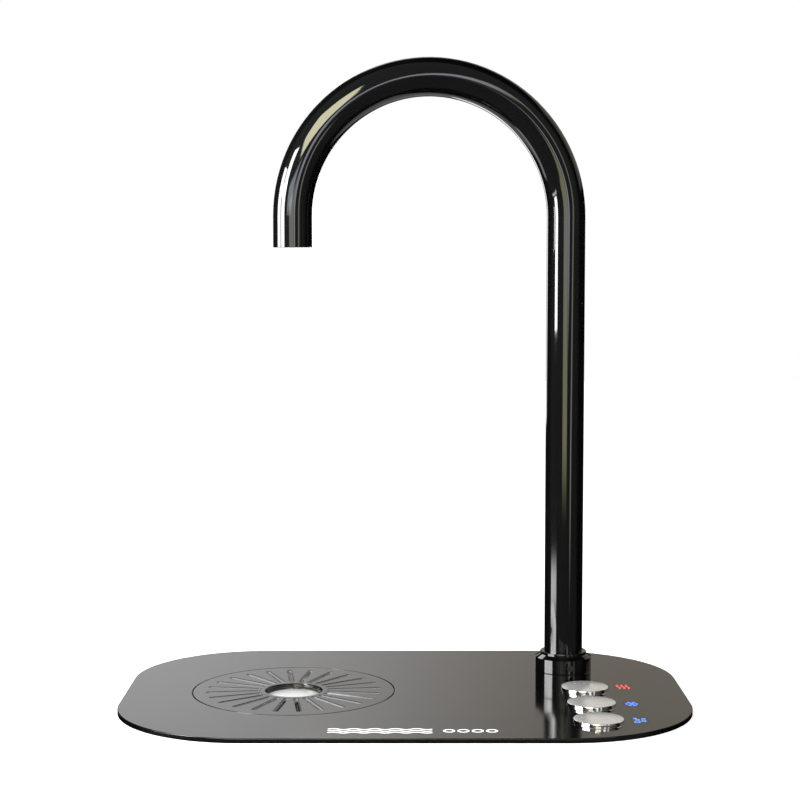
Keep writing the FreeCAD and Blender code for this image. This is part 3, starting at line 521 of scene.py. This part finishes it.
def slanted_window(g):
    """Large warm window overhead in front, with slanted sides."""
    low_side = g.ramp(g.math("MULTIPLY_ADD", g.azimuth, 0.625, g.elevation), 4.0, 6.0)
    high_side = g.ramp(g.math("MULTIPLY_ADD", g.elevation, 0.548, g.azimuth), 14.6, 16.6, 1.0, 0.0)
    mask = g.product(g.band(g.azimuth, -40.0, 5.0, 0.8), g.band(g.elevation, 15.5, 41.0, 0.8),
                     low_side, high_side)
    return g.glow(mask, WINDOW_WARM, 14.5)


def add_world():
    """White surroundings for the eye, and a dark studio with soft panels for the reflections."""
    world = bpy.data.worlds.new("studio")
    bpy.context.scene.world = world
    world.use_nodes = True
    g = Studio(world.node_tree)
    studio = room_light(g)
    lights = [make(g) for make in (worktop_light, back_light, bent_lamp, front_strip, slanted_window)]
    for light in lights + [g.panel(*settings) for settings in PANELS]:
        studio = g.vector("ADD", studio, light)
    path = g.add("ShaderNodeLightPath")
    seen = g.add("ShaderNodeBackground", {"Color": rgba(WHITE), "Strength": 1.0})
    mirrored = g.add("ShaderNodeBackground", {"Color": studio, "Strength": 1.0})
    chosen = g.add("ShaderNodeMixShader", {0: path.outputs["Is Glossy Ray"], 1: seen.outputs[0],
                                           2: mirrored.outputs[0]})
    output = g.add("ShaderNodeOutputWorld")
    g.tree.links.new(chosen.outputs[0], output.inputs[0])


def add_soft_box(name, near, far, low, high, radiance):
    """Upright rectangular light between two floor points, facing the object and hidden from the camera."""
    start = Vector((*near, low)) * MM
    end = Vector((*far, low)) * MM
    width = (end - start).length
    height = (high - low) * MM
    data = bpy.data.lights.new(name, "AREA")
    data.shape = "RECTANGLE"
    data.size = width
    data.size_y = height
    data.energy = radiance * math.pi * width * height
    light = bpy.data.objects.new(name, data)
    bpy.context.scene.collection.objects.link(light)
    along = (end - start).normalized()
    up = Vector((0.0, 0.0, 1.0))
    back = along.cross(up)
    middle = (start + end) / 2 + up * height / 2
    if back.dot(middle) < 0.0:
        along, back = -along, -back
    light.matrix_world = Matrix.Translation(middle) @ Matrix((along, up, back)).transposed().to_4x4()
    light.visible_camera = False


# ---------------------------------------------------------------- flat graphics on the deck

PRINT_THICKNESS = 0.04 * MM


def add_print(name, strokes, material):
    """Thin raised print made of ribbons: each stroke is (points, half width, closed)."""
    bm = bmesh.new()
    for points, half, closed in strokes:
        add_ribbon(bm, [Vector(p) for p in points], half, closed)
    mesh = bpy.data.meshes.new(name)
    bm.normal_update()
    bm.to_mesh(mesh)
    bm.free()
    mesh.materials.append(material)
    piece = bpy.data.objects.new(name, mesh)
    bpy.context.scene.collection.objects.link(piece)
    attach(piece, "base")
    piece.visible_glossy = False


def add_ribbon(bm, points, half, closed):
    """Flat ribbon of constant width along points, with square ends unless it is closed."""
    low = DECK_TOP
    high = DECK_TOP + PRINT_THICKNESS
    count = len(points)
    rings = []
    for i, p in enumerate(points):
        before = points[i - 1] if (i or closed) else p
        after = points[(i + 1) % count] if (i < count - 1 or closed) else p
        along = (after - before).normalized()
        side = Vector((-along.y, along.x)) * half
        corners = [(p + side, low), (p - side, low), (p - side, high), (p + side, high)]
        rings.append([bm.verts.new((q.x, q.y, z)) for q, z in corners])
    for i in range(count if closed else count - 1):
        a, b = rings[i], rings[(i + 1) % count]
        for k in range(4):
            m = (k + 1) % 4
            bm.faces.new((a[k], a[m], b[m], b[k]))
    if not closed:
        bm.faces.new(rings[0][::-1])
        bm.faces.new(rings[-1])


def circle(x, y, radius, steps=24):
    return [(x + radius * math.cos(2 * math.pi * i / steps), y + radius * math.sin(2 * math.pi * i / steps))
            for i in range(steps)]


def hot_strokes(c):
    """Three rising waves of heat."""
    half_height, swing, steps = 5.5 * MM, 0.8 * MM, 18
    strokes = []
    for shift in (-3.0, 0.0, 3.0):
        points = []
        for i in range(steps + 1):
            t = i / steps
            x = c.x + shift * MM + swing * math.sin(2 * math.pi * t)
            points.append((x, c.y + half_height * (2 * t - 1)))
        strokes.append((points, 0.55 * MM, False))
    return strokes


def chilled_strokes(c):
    """Six-armed snow crystal, stretched away from the user against the low viewpoint."""
    stretch = 1.35
    arm_length, branch_root, branch_length = 4.2 * MM, 2.4 * MM, 1.6 * MM
    strokes = []
    for arm in range(6):
        turn = math.radians(60 * arm)
        ux, uy = math.cos(turn), math.sin(turn) * stretch
        strokes.append(([(c.x, c.y), (c.x + arm_length * ux, c.y + arm_length * uy)], 0.42 * MM, False))
        for side in (-1, 1):
            branch = turn + side * math.radians(50)
            root = (c.x + branch_root * ux, c.y + branch_root * uy)
            end = (root[0] + branch_length * math.cos(branch),
                   root[1] + branch_length * math.sin(branch) * stretch)
            strokes.append(([root, end], 0.34 * MM, False))
    return strokes


def sparkling_strokes(c):
    """Bubbles of several sizes, as (x, y, radius) in millimetres."""
    bubbles = ((-2.2, -3.6, 1.7), (2.0, -1.4, 1.3), (-1.4, 1.4, 1.2), (2.4, 3.6, 1.0), (-2.6, 4.9, 0.8))
    return [(circle(c.x + x * MM, c.y + y * MM, r * MM), 0.34 * MM, True) for x, y, r in bubbles]


def add_symbols():
    """One lit symbol on each window."""
    looks = (("hot", hot_strokes, (0.95, 0.05, 0.03), 0.75),
             ("chilled", chilled_strokes, (0.05, 0.16, 0.95), 1.05),
             ("sparkling", sparkling_strokes, (0.05, 0.28, 0.95), 1.0))
    for name, strokes, glow, strength in looks:
        low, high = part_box(name + "_window")
        material = lit_plastic(name + "_glow", glow, strength)
        add_print(name + "_symbol", strokes((low + high) / 2), material)


def add_ornament():
    """Plain printed ornament at the front of the deck: three wavy lines and a row of rings."""
    wave_start, wave_run, wave_swing, wave_turns, wave_steps = -46.0, 62.0, 1.1, 5, 60
    strokes = []
    for y in (-106.0, -102.0, -98.0):
        points = []
        for i in range(wave_steps + 1):
            t = i / wave_steps
            swing = wave_swing * math.sin(2 * math.pi * wave_turns * t)
            points.append(((wave_start + wave_run * t) * MM, (y + swing) * MM))
        strokes.append((points, 0.65 * MM, False))
    for x in (26.0, 34.5, 43.0, 51.5):
        strokes.append((circle(x * MM, -102.0 * MM, 3.0 * MM), 0.6 * MM, True))
    add_print("deck_ornament", strokes, white_ink_painted_glow("white_ink_painted_glow"))


# ---------------------------------------------------------------- build

add_camera()
add_floor()
add_world()
for settings in SOFT_BOXES:
    add_soft_box(*settings)
dress_frame()
add_symbols()
add_ornament()
bpy.context.scene.view_settings.view_transform = "Standard"
bpy.context.scene.view_settings.look = "None"
